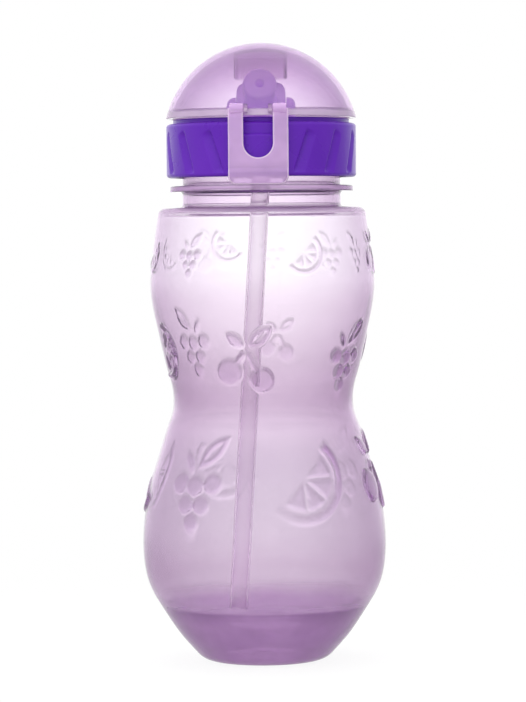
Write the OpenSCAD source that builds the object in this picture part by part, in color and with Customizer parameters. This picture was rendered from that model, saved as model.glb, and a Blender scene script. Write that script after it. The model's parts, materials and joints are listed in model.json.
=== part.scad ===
// Kids water bottle with a waisted see-through body, a screw collar, a flip-up dome over a
// tilting drinking spout, and a front latch clip. Millimetres. The origin is the middle of the
// foot, +Z is up, the latch faces -Y and the dome's hinge is at +Y.

/* [Bottle] */
// Height of the bottle's mouth above the table
mouth_z = 157; // [156:0.5:160]
// Radius of the lower bulge, the widest place
bulge_r = 36.45; // [36:0.05:37.5]
// Radius of the waist, the narrowest place
waist_r = 26.85; // [26:0.05:28]
// Radius of the upper bulge
chest_r = 33.6; // [33:0.1:34.5]
// Thickness of the blown wall
wall = 1.2; // [1:0.1:1.4]
// Radius of the circle that the foot stands on
foot_r = 17.6; // [17:0.1:18.2]

/* [Neck and thread] */
// Outer radius of the neck
neck_r = 23.7; // [23.5:0.05:23.8]
// Outer radius of the ring below the collar
ring_r = 27.45; // [26.5:0.05:28]
// Rise of the thread in one turn
pitch = 4; // [3.8:0.1:4.4]
// Turns of thread on the neck
neck_turns = 1.5; // [1:0.25:1.5]

/* [Collar] */
// Outer radius of the screw collar
collar_r = 28.35; // [28.2:0.05:28.4]
// Height of the collar's outer wall
collar_h = 15.95; // [15.5:0.05:16.5]
// Slant of the grip flutes from upright, in degrees
flute_slant = 20; // [0:1:28]
// Depth of a grip flute
flute_depth = 0.9; // [0.5:0.1:1]

/* [Dome] */
// Radius of the dome's sphere
dome_r = 29.3; // [29.2:0.05:29.4]
// Thickness of the dome
dome_wall = 1.5; // [1.2:0.1:1.6]

/* [Spout and straw] */
// Upward tilt of the folded spout, in degrees
spout_tilt = 25; // [20:1:26]
// Outer radius of the mouthpiece's tip
tip_r = 5; // [4.5:0.1:5]
// Outer diameter of the straw
straw_d = 5.6; // [5.2:0.1:5.6]
// Lean of the straw, in degrees
straw_lean = 3.5; // [0:0.5:4]

/* [Latch] */
// Width of the latch clip
latch_w = 17.6; // [17:0.1:18.4]
// Width of its window
window_w = 8.6; // [8.4:0.1:9]

/* [Hidden] */
$fn = 96;
eps = 0.01;
snug = 0.05;          // radial play of a pin or a plug in its hole

// Bottle
floor_z = 12.8;       // top of the thick base at the middle
base_edge_z = 17.2;   // where the thick base meets the wall
punt_z = 10.2;        // height of the hollow under the base
shoulder_z = mouth_z - 21.25;
shoulder_round = 2.2;
shoulder_r = 31.2;
neck_bore_r = neck_r - 1.6;
ring_z = mouth_z - 16.5;
ring_h = 1.7;

// Thread, as a ridge that is wide at its root and narrow at its crest
thread_root = 1.5;
thread_crest = 0.8;
thread_sink = 0.4;    // depth of the root inside the wall
thread_reach = 1.25;
thread_z = mouth_z - 8.4;
thread_steps = 40;    // steps in one turn
cap_turns = 1;

// Collar
deck_z = mouth_z + 1.4;
deck_h = 2;
deck_top = deck_z + deck_h;
collar_top = mouth_z + 3.65;
collar_low = collar_top - collar_h;
collar_bore_r = neck_r + 1.7;
lip_r = collar_r - 2.05;
lip_wall = 1.4;
lip_top = deck_top + 1.6;
edge = 1;             // rounding of the collar's edges
flute_r = 1.7;
flute_low = collar_low + 2.2;
flute_high = collar_top - 3.9;
flute_first = 27.6;     // degrees from the front to the first flute
flute_step = 21.6;
flutes = 7;           // on each side
pocket_w = 9.4;
pocket_low = mouth_z - 0.1;
pocket_depth = 0.8;

// Gasket
gasket_out = neck_r + 0.8;
gasket_in = neck_bore_r - 0.6;

// Spout base
seat_r = 13;
flange_r = 14.5;
flange_h = 1;
flange_top = deck_top + flange_h;
oring_in = 13.35;
oring_out = 14.25;
oring_h = 0.7;
pivot_y = 3;
pivot_z = deck_top + 5.1;
barrel_r = 3.9;
barrel_w = 14.7;
ear_in = barrel_w / 2 + 0.25;
ear_out = 10.3;
ear_r = 3.3;
ear_round = 2.2;
trunnion_r = 1.6;
trunnion_end = 9.4;
channel_r = 1.9;
socket_r = straw_d / 2 + 1.2;
socket_len = 12;

// Seat seal and air vent
seal_low = deck_top + 0.3;
seal_out = 3.3;
seal_h = 2.5;
vent_y = 19;
vent_r = 1.5;
vent_bore_r = 0.5;
vent_cap_r = 2.6;

// Straw
straw_top = mouth_z + 2;
straw_low = 14.2;
straw_cross_z = mouth_z - 9; // where the leaning straw crosses the middle
straw_wall = 0.6;

// Spout
nozzle_len = 16;
nozzle_root = 4.6;
tube_r = 3;
tube_len = 12;
bore_r = 1.7;
block_high = 6.8;
block_front = 4;
block_back = 2.1;

// Dome
dome_cz = mouth_z - 1.3;
rim_z = mouth_z + 5.3;
rim_bore_r = 27.2;    // the rim is thinner, so that it sits outside the collar's lip
rim_step = 2.2;
pusher_w = 15.9;
pusher_y = 2;
pusher_d = 6.4;
pusher_low = mouth_z + 17.3;
pusher_wall = 1.2;

// Dome hinge
hinge_y = 31.3;
hinge_z = mouth_z + 4.5;
hinge_r = 2.3;
pin_r = 1;
knuckle_half = 3.7;
hinge_ear_in = 4;
hinge_ear_out = 7.5;

// Latch
latch_in = 28.9;
latch_wall = 1.7;
latch_pivot_y = -29.5;
latch_pivot_z = mouth_z + 7.4;
latch_knuckle_r = 1.45;
latch_pin_r = 0.6;
latch_low = mouth_z - 14.8;
latch_corner = 2.6;
window_low = mouth_z - 6.95;
leg_out = 8.3;        // outer end of a leg's knuckle
latch_ear_in = 3;

// Points on an arc about [x, y], from angle a to angle b
function arc(x, y, r, a, b, n = 8) =
    [for (i = [0 : n]) let (t = a + (b - a) * i / n) [x + r * cos(t), y + r * sin(t)]];

// A smooth line through the given points, n steps between each two
function curve(p, n = 4) = concat(
    [for (i = [0 : len(p) - 2], k = [0 : n - 1])
        let (a = p[max(i - 1, 0)], b = p[i], c = p[i + 1], d = p[min(i + 2, len(p) - 1)],
             t = k / n)
        0.5 * (2 * b + (c - a) * t + (2 * a - 5 * b + 4 * c - d) * t * t
            + (3 * b - a - 3 * c + d) * t * t * t)],
    [p[len(p) - 1]]);

// The same line moved sideways by d, to its left for a positive d
function shifted(p, d) =
    [for (i = [0 : len(p) - 1])
        let (t = p[min(i + 1, len(p) - 1)] - p[max(i - 1, 0)])
        p[i] + d * [-t[1], t[0]] / norm(t)];

function reversed(p) = [for (i = [len(p) - 1 : -1 : 0]) p[i]];

// Radius and height up the outside, from the heel to the shoulder
side = curve([
    [foot_r + 2.9, 2.4], [25.7, 8.4], [30.9, 16.2], [34, 21.6], [bulge_r - 0.75, 27],
    [bulge_r, 34.5], [bulge_r - 0.55, 43], [34.35, 52.2], [31.05, 63], [28.8, 70.2],
    [waist_r + 0.35, 74.6], [waist_r, 78.6], [waist_r + 0.55, 83], [28.95, 88.4],
    [31.35, 99], [chest_r - 0.85, 105.4], [chest_r, 111.8], [chest_r - 0.25, 117.6],
    [32.55, 124.2], [shoulder_r, shoulder_z - shoulder_round]]);

// The hollow under the base, with a small nub in its middle
punt = [[0, punt_z + 0.9], [2.4, punt_z + 0.9], [3.2, punt_z], [9, punt_z - 0.6],
        [13.4, punt_z - 3.2], [15.2, punt_z - 7.2], [16.1, 0.8], [16.8, 0]];

inner_side = [for (p = shifted(side, wall)) if (p[1] > base_edge_z) p];

module bottle_shell() {
    outside = concat(
        punt, [[foot_r, 0]], arc(foot_r, 3.6, 3.6, -70, -25, 4), side,
        arc(shoulder_r - shoulder_round, shoulder_z - shoulder_round, shoulder_round, 10, 90),
        [[neck_r + 0.7, shoulder_z]], arc(neck_r + 0.7, shoulder_z + 0.7, 0.7, 270, 180, 4),
        [[neck_r, ring_z - 0.5], [neck_r + 0.5, ring_z], [ring_r - 0.4, ring_z],
         [ring_r, ring_z + 0.4], [ring_r, ring_z + ring_h - 0.6],
         [ring_r - 0.5, ring_z + ring_h - 0.2], [neck_r, ring_z + ring_h]],
        arc(neck_r - 0.5, mouth_z - 0.5, 0.5, 0, 90, 4));
    inside = concat(
        arc(neck_bore_r + 0.4, mouth_z - 0.4, 0.4, 90, 180, 4),
        arc(neck_bore_r + 0.6, shoulder_z - wall + 0.6, 0.6, 180, 270, 4),
        arc(shoulder_r - shoulder_round, shoulder_z - shoulder_round, shoulder_round - wall, 90, 0),
        reversed(inner_side),
        [[28.4, base_edge_z - 0.7], [25, 15.1], [19, 13.6], [10, floor_z + 0.1], [0, floor_z]]);
    rotate_extrude() polygon(concat(outside, inside));
}

// A helical ridge on a wall of radius r. reach is positive outwards and negative inwards, and
// the ridge fades in and out over its first and last eighth of a turn.
module thread(r, reach, z, turns) {
    n = round(turns * thread_steps);
    fade = thread_steps / 8;
    way = sign(reach);
    rings = [for (i = [0 : n])
        let (a = 360 * i / thread_steps, mid = z + pitch * i / thread_steps,
             k = 0.12 + 0.88 * min(1, i / fade, (n - i) / fade))
        for (q = [[-way * thread_sink, -thread_root / 2], [reach * k, -thread_crest / 2],
                  [reach * k, thread_crest / 2], [-way * thread_sink, thread_root / 2]])
        [(r + q[0]) * cos(a), (r + q[0]) * sin(a), mid + q[1]]];
    quads = [for (i = [0 : n - 1], k = [0 : 3])
        let (a = 4 * i + k, b = 4 * i + (k + 1) % 4)
        each [[a, b, b + 4], [a, b + 4, a + 4]]];
    ends = [[3, 2, 1], [3, 1, 0], [4 * n, 4 * n + 1, 4 * n + 2], [4 * n, 4 * n + 2, 4 * n + 3]];
    faces = concat(quads, ends);
    polyhedron(rings, way > 0 ? faces : [for (f = faces) [f[2], f[1], f[0]]]);
}

// A cylinder along X, between x1 and x2
module bar(x1, x2, y, z, r) {
    translate([x1, y, z]) rotate([0, 90, 0]) cylinder(r = r, h = x2 - x1);
}

// The same, with its outer end at x2 rounded
module knob(x1, x2, y, z, r, round) {
    translate([x1, y, z]) rotate([0, 90, 0]) rotate_extrude()
        polygon(concat([[0, 0], [r, 0]], arc(r - round, x2 - x1 - round, round, 0, 90),
                       [[0, x2 - x1]]));
}

// A box between two corners
module block(a, b) {
    translate(a) cube(b - a);
}

module both_sides() {
    children();
    mirror([1, 0, 0]) children();
}

module bottle_body() {
    color([0.78, 0.66, 0.83, 0.5]) union() {
        bottle_shell();
        thread(neck_r, thread_reach, thread_z, neck_turns);
    }
}

module cap_gasket() {
    color([0.93, 0.9, 0.95]) rotate_extrude()
        polygon([[gasket_in, mouth_z], [gasket_out, mouth_z], [gasket_out, deck_z],
                 [gasket_in, deck_z]]);
}

module collar_shell() {
    rotate_extrude() polygon(concat(
        [[collar_bore_r, collar_low], [collar_r - edge, collar_low]],
        arc(collar_r - edge, collar_low + edge, edge, -90, 0, 5),
        arc(collar_r - edge, collar_top - edge, edge, 0, 90, 5),
        [[lip_r, collar_top], [lip_r, lip_top - 0.3], [lip_r - 0.3, lip_top],
         [lip_r - lip_wall, lip_top], [lip_r - lip_wall, deck_top],
         [oring_out + snug, deck_top], [oring_out + snug, deck_top - oring_h],
         [oring_in - snug, deck_top - oring_h], [oring_in - snug, deck_top],
         [seat_r, deck_top], [seat_r, deck_z], [collar_bore_r, deck_z]]));
}

// One slanted grip flute with round ends. side is 1 to the right of the latch, -1 to its left.
module flute(turn, side) {
    half = (flute_high - flute_low) / 2 / cos(flute_slant);
    rotate([0, 0, side * turn])
        translate([0, flute_depth - flute_r - collar_r, (flute_low + flute_high) / 2])
        rotate([0, side * flute_slant, 0]) {
            cylinder(r = flute_r, h = 2 * half, center = true, $fn = 32);
            for (end = [-half, half]) translate([0, 0, end]) sphere(r = flute_r, $fn = 32);
        }
}

module cap_collar() {
    color([0.42, 0.2, 0.74]) difference() {
        union() {
            collar_shell();
            thread(collar_bore_r, -thread_reach, thread_z - pitch / 2, cap_turns);
            both_sides() {
                bar(hinge_ear_in, hinge_ear_out, hinge_y, hinge_z, hinge_r);
                block([hinge_ear_in, collar_r - 3, hinge_z - hinge_r - 1.6],
                      [hinge_ear_out, hinge_y, hinge_z - hinge_r + 0.8]);
            }
        }
        for (i = [0 : flutes - 1], side = [-1, 1]) flute(flute_first + i * flute_step, side);
        block([-pocket_w / 2, -collar_r - 1, pocket_low],
              [pocket_w / 2, -collar_r + pocket_depth, collar_top + eps]);
        bar(-hinge_ear_out - 1, hinge_ear_out + 1, hinge_y, hinge_z, pin_r);
        translate([0, vent_y, deck_z - 1]) cylinder(r = vent_r, h = deck_h + 2);
    }
}

// Places its children along the leaning straw, with their own zero at the height where the
// straw crosses the middle
module along_straw() {
    translate([0, pivot_y, straw_cross_z]) rotate([0, straw_lean, 0]) children();
}

module spout_base() {
    color([0.85, 0.74, 0.9, 0.6]) difference() {
        union() {
            translate([0, 0, deck_top]) cylinder(r = flange_r, h = flange_h);
            rotate_extrude() polygon([
                [seat_r - 1.3, deck_z - 1.6], [seat_r - 0.3, deck_z - 1.6],
                [seat_r + 0.3, deck_z - 0.7], [seat_r + 0.3, deck_z], [seat_r - snug, deck_z],
                [seat_r - snug, deck_top + eps], [seat_r - 1.3, deck_top + eps]]);
            along_straw() translate([0, 0, deck_top + 0.5 - straw_cross_z - socket_len])
                cylinder(r = socket_r, h = socket_len);
            block([-barrel_w / 2 + 0.3, pivot_y - 5, flange_top - eps],
                  [barrel_w / 2 - 0.3, pivot_y + 5, flange_top + 1.7]);
            both_sides() {
                knob(ear_in, ear_out, pivot_y, pivot_z, ear_r, ear_round);
                block([ear_in, pivot_y - ear_r, flange_top - eps],
                      [ear_out, pivot_y + ear_r, pivot_z]);
            }
        }
        bar(-ear_in, ear_in, pivot_y, pivot_z, barrel_r + 0.15);
        bar(-trunnion_end - 0.3, trunnion_end + 0.3, pivot_y, pivot_z, trunnion_r + snug);
        along_straw() translate([0, 0, -40])
            cylinder(r = straw_d / 2 + snug, h = straw_top - straw_cross_z + 40);
        translate([0, pivot_y, straw_top - 0.5]) cylinder(r = channel_r, h = 5);
        translate([0, pivot_y, seal_low]) cylinder(r = seal_out + snug, h = 5);
    }
}

module spout_base_seal() {
    color([0.93, 0.9, 0.95]) translate([0, 0, deck_top - oring_h]) difference() {
        cylinder(r = oring_out, h = oring_h);
        translate([0, 0, -1]) cylinder(r = oring_in, h = oring_h + 2);
    }
}

module spout_seat_seal() {
    color([0.93, 0.9, 0.95]) translate([0, pivot_y, seal_low]) difference() {
        cylinder(r = seal_out, h = seal_h);
        translate([0, 0, -1]) cylinder(r = channel_r, h = 5);
        bar(-6, 6, 0, pivot_z - seal_low, barrel_r + snug);
    }
}

module air_vent_valve() {
    color([0.93, 0.9, 0.95]) translate([0, vent_y, 0]) rotate_extrude() polygon([
        [vent_bore_r, deck_z - 1], [vent_r + 0.4, deck_z - 1], [vent_r + 0.7, deck_z],
        [vent_r, deck_z], [vent_r, deck_top], [vent_cap_r, deck_top],
        [vent_cap_r, deck_top + 0.4], [vent_cap_r - 0.8, deck_top + 0.8],
        [vent_bore_r, deck_top + 0.8]]);
}

module drinking_straw() {
    low = (straw_low - straw_cross_z) / cos(straw_lean);
    high = (straw_top - 0.4 - straw_cross_z) / cos(straw_lean);
    color([0.86, 0.78, 0.9, 0.7]) along_straw() difference() {
        translate([0, 0, low]) cylinder(r = straw_d / 2, h = high - low);
        translate([0, 0, low - 1]) cylinder(r = straw_d / 2 - straw_wall, h = high - low + 2);
    }
}

// Places its children with +Z out along the spout and their own zero on the pivot
module along_spout() {
    translate([0, pivot_y, pivot_z]) rotate([90 - spout_tilt, 0, 0]) children();
}

module spout_rotor() {
    color([0.9, 0.8, 0.93, 0.8]) difference() {
        union() {
            bar(-barrel_w / 2 + 0.2, barrel_w / 2 - 0.2, pivot_y, pivot_z, barrel_r);
            bar(-trunnion_end, trunnion_end, pivot_y, pivot_z, trunnion_r);
            along_spout() {
                cylinder(r = tube_r, h = tube_len);
                block([-barrel_w / 2, 0, -block_back], [barrel_w / 2, block_high, block_front]);
            }
        }
        along_spout() translate([0, 0, -barrel_r - 1])
            cylinder(r = bore_r, h = barrel_r + tube_len + 2);
    }
}

module spout_nozzle() {
    color([0.95, 0.88, 0.96]) along_spout() rotate_extrude() polygon(concat(
        [[tube_r, nozzle_root], [4.9, nozzle_root], [4.9, nozzle_root + 1.6]],
        curve([[4.4, nozzle_root + 2.6], [4.25, 9.5], [4.5, 12.5], [tip_r, nozzle_len - 1.6]], 3),
        arc(tip_r - 1, nozzle_len - 1, 1, 10, 90, 5),
        [[bore_r, nozzle_len], [bore_r, tube_len], [tube_r, tube_len]]));
}

module dome_shell() {
    difference() {
        translate([0, 0, dome_cz]) sphere(r = dome_r);
        translate([0, 0, dome_cz]) sphere(r = dome_r - dome_wall);
        translate([0, 0, rim_z - 60]) cube([80, 80, 120], center = true);
        translate([0, 0, rim_z - 1]) cylinder(r = rim_bore_r, h = rim_step + 1);
    }
}

module dome_cover() {
    color([0.85, 0.72, 0.9, 0.5]) difference() {
        union() {
            dome_shell();
            intersection() {
                difference() {
                    block([-pusher_w / 2, pusher_y - pusher_d / 2, pusher_low],
                          [pusher_w / 2, pusher_y + pusher_d / 2, mouth_z + 30]);
                    block([-pusher_w / 2 + pusher_wall, pusher_y - pusher_d / 2 + pusher_wall, 0],
                          [pusher_w / 2 - pusher_wall, pusher_y + pusher_d / 2 - pusher_wall,
                           mouth_z + 23.5]);
                }
                translate([0, 0, dome_cz]) sphere(r = dome_r - 0.5);
            }
            bar(-knuckle_half, knuckle_half, hinge_y, hinge_z, hinge_r);
            block([-knuckle_half, 27.4, rim_z], [knuckle_half, hinge_y, hinge_z + hinge_r]);
            both_sides() {
                bar(latch_ear_in, window_w / 2 - 0.15, latch_pivot_y, latch_pivot_z, 1.3);
                block([latch_ear_in, latch_pivot_y, latch_pivot_z - 1.3],
                      [window_w / 2 - 0.15, -27, latch_pivot_z + 1.3]);
            }
        }
        bar(-10, 10, hinge_y, hinge_z, pin_r + snug);
        bar(-10, 10, latch_pivot_y, latch_pivot_z, latch_pin_r);
        both_sides() bar(hinge_ear_in - 0.25, hinge_ear_out + 0.3, hinge_y, hinge_z, hinge_r + 0.35);
    }
}

module dome_hinge_pin() {
    color([0.75, 0.76, 0.78]) bar(-hinge_ear_out, hinge_ear_out, hinge_y, hinge_z, pin_r);
}

module latch_outline() {
    half = latch_w / 2;
    difference() {
        union() {
            translate([-half, latch_low + latch_corner])
                square([latch_w, latch_pivot_z - latch_low - latch_corner]);
            translate([-half + latch_corner, latch_low])
                square([latch_w - 2 * latch_corner, latch_corner + 1]);
            for (x = [-half + latch_corner, half - latch_corner])
                translate([x, latch_low + latch_corner]) circle(r = latch_corner);
        }
        translate([0, window_low + window_w / 2]) circle(r = window_w / 2);
        translate([-window_w / 2, window_low + window_w / 2]) square([window_w, 40]);
    }
}

module latch_clip() {
    out = latch_in + latch_wall;
    lip_z = latch_low + 4;
    color([0.82, 0.68, 0.88, 0.6]) difference() {
        union() {
            intersection() {
                rotate_extrude() polygon([
                    [latch_in + 0.5, latch_low - 1], [out + 0.9, latch_low - 1],
                    [out + 0.7, lip_z - 0.6], [out, lip_z + 0.6], [out, latch_pivot_z + 1],
                    [latch_in, latch_pivot_z + 1], [latch_in, lip_z]]);
                rotate([90, 0, 0]) linear_extrude(60) latch_outline();
            }
            both_sides() bar(window_w / 2, leg_out, latch_pivot_y, latch_pivot_z,
                             latch_knuckle_r);
        }
        both_sides() bar(latch_ear_in, leg_out - 0.6, latch_pivot_y, latch_pivot_z,
                         latch_pin_r + snug);
    }
}

module latch_pins() {
    color([0.75, 0.76, 0.78]) both_sides()
        bar(latch_ear_in, leg_out - 0.7, latch_pivot_y, latch_pivot_z, latch_pin_r);
}

bottle_body();
cap_gasket();
cap_collar();
spout_base();
spout_base_seal();
spout_seat_seal();
air_vent_valve();
drinking_straw();
spout_rotor();
spout_nozzle();
dome_cover();
dome_hinge_pin();
latch_clip();
latch_pins();
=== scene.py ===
# Kids water bottle: see-through lilac body with raised fruit, screw collar, flip-up dome, spout, straw and latch.
# Lengths are in millimetres, with Z up from the floor and the front towards -Y. The mesh helpers turn them into
# metres. The stage and the camera at the end are in metres.
import json
import math

import bmesh
import bpy
import numpy as np
from mathutils import Matrix, Vector


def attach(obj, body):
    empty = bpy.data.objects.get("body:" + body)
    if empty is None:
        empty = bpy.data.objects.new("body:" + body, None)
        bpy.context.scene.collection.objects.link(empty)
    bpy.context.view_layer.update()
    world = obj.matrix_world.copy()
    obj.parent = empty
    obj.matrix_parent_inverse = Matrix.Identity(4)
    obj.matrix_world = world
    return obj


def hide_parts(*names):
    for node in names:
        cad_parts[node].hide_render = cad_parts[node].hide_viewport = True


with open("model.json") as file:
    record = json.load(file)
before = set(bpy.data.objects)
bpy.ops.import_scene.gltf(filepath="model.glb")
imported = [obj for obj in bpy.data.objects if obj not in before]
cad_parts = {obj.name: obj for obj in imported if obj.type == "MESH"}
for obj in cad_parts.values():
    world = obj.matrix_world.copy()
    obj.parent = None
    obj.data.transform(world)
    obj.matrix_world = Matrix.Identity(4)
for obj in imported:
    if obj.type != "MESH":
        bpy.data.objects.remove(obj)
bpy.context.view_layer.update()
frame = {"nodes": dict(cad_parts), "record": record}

MM = 0.001


# ---------------------------------------------------------------- lines

CORNER_STEPS = 4


def arc(x, y, r, a, b, n=8):
    """Points on an arc about (x, y) from angle a to angle b, in degrees."""
    return [(x + r * math.cos(math.radians(a + (b - a) * i / n)),
             y + r * math.sin(math.radians(a + (b - a) * i / n))) for i in range(n + 1)]


def smooth_line(points, n=24):
    """A smooth line through the points, with n steps between each two."""
    p = np.array(points, float)
    out = []
    for i in range(len(p) - 1):
        a, b, c, d = p[max(i - 1, 0)], p[i], p[i + 1], p[min(i + 2, len(p) - 1)]
        for k in range(n):
            t = k / n
            out.append(0.5 * (2 * b + (c - a) * t + (2 * a - 5 * b + 4 * c - d) * t * t
                              + (3 * b - a - 3 * c + d) * t ** 3))
    out.append(p[-1])
    return np.array(out)


def softened(points, closed=False):
    """The line with each corner (x, y, cut) rounded off over the length cut. Points without cut stay sharp."""
    out, n = [], len(points)
    for i, q in enumerate(points):
        p = Vector(q[:2])
        cut = q[2] if len(q) > 2 else 0
        if cut and (closed or 0 < i < n - 1):
            a, b = Vector(points[i - 1][:2]) - p, Vector(points[(i + 1) % n][:2]) - p
            s, e = p + a.normalized() * min(cut, 0.49 * a.length), p + b.normalized() * min(cut, 0.49 * b.length)
            for k in range(CORNER_STEPS + 1):
                t = k / CORNER_STEPS
                out.append(tuple(s * (1 - t) ** 2 + p * 2 * t * (1 - t) + e * t * t))
        else:
            out.append(tuple(p))
    return out


# ---------------------------------------------------------------- solids

BOX_SEGMENTS = 3
PITCH, THREAD_SINK, THREAD_STEPS = 4.0, 0.4, 72     # the thread's rise per turn, its root's depth, steps per turn


def linked(name, mesh):
    obj = bpy.data.objects.new(name, mesh)
    bpy.context.scene.collection.objects.link(obj)
    return obj


def new_mesh(name, verts, faces):
    mesh = bpy.data.meshes.new(name)
    mesh.from_pydata([tuple(float(c) * MM for c in v) for v in verts], [], faces)
    mesh.update()
    return linked(name, mesh)


def from_bmesh(name, bm):
    """An object of the bmesh, which is used up and is in metres."""
    mesh = bpy.data.meshes.new(name)
    bm.to_mesh(mesh)
    bm.free()
    return linked(name, mesh)


def cleaned(obj, weld=0.0, outwards=True):
    """Joins vertices that are closer than weld, in metres, and turns the faces outwards."""
    bm = bmesh.new()
    bm.from_mesh(obj.data)
    if weld:
        bmesh.ops.remove_doubles(bm, verts=bm.verts, dist=weld)
    if outwards:
        bmesh.ops.recalc_face_normals(bm, faces=bm.faces)
    bm.to_mesh(obj.data)
    bm.free()
    return obj


def moved(x, y, z):
    return Matrix.Translation(Vector((x, y, z)) * MM)


def spun(angle, axis):
    return Matrix.Rotation(math.radians(angle), 4, axis)


def place(obj, matrix):
    obj.data.transform(matrix)
    return obj


def grid_rows(rings):
    """Vertices and faces joining rings of points. A ring of 1 point is a pole, and the count may halve from one ring
    to the next."""
    verts, starts = [], []
    for points in rings:
        starts.append(len(verts))
        verts.extend(points)
    faces = []
    for k in range(len(rings) - 1):
        a, b, na, nb = starts[k], starts[k + 1], len(rings[k]), len(rings[k + 1])
        if na == 1 or nb == 1:
            n = max(na, nb)
            for j in range(n):
                i = (j + 1) % n
                faces.append((a, b + i, b + j) if na == 1 else (a + j, a + i, b))
        elif na == nb:
            faces.extend((a + j, a + (j + 1) % na, b + (j + 1) % na, b + j) for j in range(na))
        else:
            for j in range(nb):
                f = [a + (2 * j + q) % na for q in range(3)]
                c0, c1 = b + j, b + (j + 1) % nb
                faces += [(f[0], f[1], c0), (f[1], c1, c0), (f[1], f[2], c1)]
    return verts, faces


def ring(r, z, n, proud=0.0):
    """n points round the axis, from the front towards +X. proud is added to the radius, and may be one value each."""
    if r < 1e-6:
        return [(0.0, 0.0, z)]
    t = np.arange(n) * (2 * math.pi / n)
    rr = r + proud
    return list(zip(rr * np.sin(t), -rr * np.cos(t), np.full(n, float(z))))


def lathe(name, profile, n=96, closed=True):
    """A turned solid about Z. With closed, the profile is a loop off the axis; otherwise it runs from axis to axis."""
    line = list(profile) + ([profile[0]] if closed else [])
    return cleaned(new_mesh(name, *grid_rows([ring(r, z, n) for r, z in line])), weld=1e-7)


def box(name, a, b, bevel=0.0, upright=False):
    """A box between two corners, with its edges rounded, or only its upright ones."""
    bm = bmesh.new()
    bmesh.ops.create_cube(bm, size=1)
    for v in bm.verts:
        v.co = Vector([(a[k] + b[k]) / 2 + v.co[k] * (b[k] - a[k]) for k in range(3)])
    if bevel:
        edges = [e for e in bm.edges if not upright or abs(e.verts[0].co.z - e.verts[1].co.z) > 1e-6]
        bmesh.ops.bevel(bm, geom=edges, offset=bevel, segments=BOX_SEGMENTS, profile=0.5, affect="EDGES")
    for v in bm.verts:
        v.co *= MM
    return from_bmesh(name, bm)


def bar(name, x1, x2, y, z, r, soft=0.2, n=48):
    """A cylinder along X with softened ends."""
    obj = lathe(name, softened([(0, 0), (r, 0, soft), (r, x2 - x1, soft), (0, x2 - x1)]), n, closed=False)
    return place(obj, moved(x1, y, z) @ spun(90, "Y"))


def prism(near, far, rounding, **bevel):
    """A bmesh prism between two equal outlines, with the edges of its two ends rounded."""
    bm = bmesh.new()
    back, front = ([bm.verts.new(p) for p in end] for end in (near, far))
    n = len(near)
    bm.faces.new(back)
    bm.faces.new(front[::-1])
    for i in range(n):
        bm.faces.new((back[i], front[i], front[(i + 1) % n], back[(i + 1) % n]))
    bmesh.ops.recalc_face_normals(bm, faces=bm.faces)
    ends = [e for e in bm.edges if (e.verts[0] in back) == (e.verts[1] in back)]
    bmesh.ops.bevel(bm, geom=ends, offset=rounding, profile=0.5, affect="EDGES", clamp_overlap=True, **bevel)
    return bm


def combine(a, b, operation):
    """Boolean of two solids. b is used up."""
    m = a.modifiers.new("combine", "BOOLEAN")
    m.object, m.operation, m.solver = b, operation, "EXACT"
    bpy.context.view_layer.update()
    made = bpy.data.meshes.new_from_object(a.evaluated_get(bpy.context.evaluated_depsgraph_get()))
    a.modifiers.clear()
    a.data = made
    bpy.data.objects.remove(b)
    return a


def joined(a, *others):
    """One object of several meshes as they are. The others are used up."""
    bm = bmesh.new()
    for o in (a, *others):
        bm.from_mesh(o.data)
    bm.to_mesh(a.data)
    bm.free()
    for o in others:
        bpy.data.objects.remove(o)
    return a


def helix(name, r, reach, z, turns):
    """The thread's ridge, rounded at its crest, fading over its first and last eighth of a turn. It stands outwards
    by reach, or inwards where reach is negative."""
    n = round(turns * THREAD_STEPS)
    way = 1 if reach > 0 else -1
    rings = []
    for i in range(n + 1):
        t = 2 * math.pi * i / THREAD_STEPS
        k = 0.12 + 0.88 * min(1, i / (THREAD_STEPS / 8), (n - i) / (THREAD_STEPS / 8))
        mid = z + PITCH * i / THREAD_STEPS
        cut = [(-way * THREAD_SINK, -0.75), (reach * k * 0.85, -0.5), (reach * k, -0.28), (reach * k, 0.28),
               (reach * k * 0.85, 0.5), (-way * THREAD_SINK, 0.75)]
        rings.append([((r + a) * math.cos(t), (r + a) * math.sin(t), mid + b) for a, b in cut])
    verts = [p for q in rings for p in q]
    faces = [(6 * i + k, 6 * i + (k + 1) % 6, 6 * i + 6 + (k + 1) % 6, 6 * i + 6 + k)
             for i in range(n) for k in range(6)]
    faces += [(5, 4, 3, 2, 1, 0), tuple(6 * n + k for k in range(6))]
    return cleaned(new_mesh(name, verts, faces))


def finish_piece(obj, body, node, mat=None, angle=38):
    """Shades the piece, with edges sharper than the angle kept, puts it on its body and hides the CAD node that it
    stands for. A piece without mat has its materials already."""
    if mat:
        obj.data.materials.append(mat)
    obj.data.shade_smooth()
    obj.data.set_sharp_from_angle(angle=math.radians(angle))
    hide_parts(node)
    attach(obj, body)


# ---------------------------------------------------------------- the fruit in relief

ROW = 0.5       # height of a row of the body mesh where there is fruit
EDGE = 0.75     # how far in from its outline a raised shape reaches most of its height
WEDGES = 4      # wedges in half a slice of citrus
SEAM_TURN, SEAM_HEIGHT, SEAM_WIDTH = 92, 0.10, 0.35     # the mould's parting line, on both sides
REACH_U, REACH_V = 17, 19       # no fruit reaches further than this from its middle, sideways and up


def pillow(inside, width, height):
    """Height of a raised shape, from the distance inside its edge: a rounded step, then a slight crown."""
    t = np.clip(inside / width, 0, 1)
    crown = np.clip(inside / (4 * width), 0, 1)
    return height * (0.86 * np.sqrt(np.clip(1 - (1 - t) ** 2, 0, 1)) + 0.14 * crown * (2 - crown))


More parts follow.
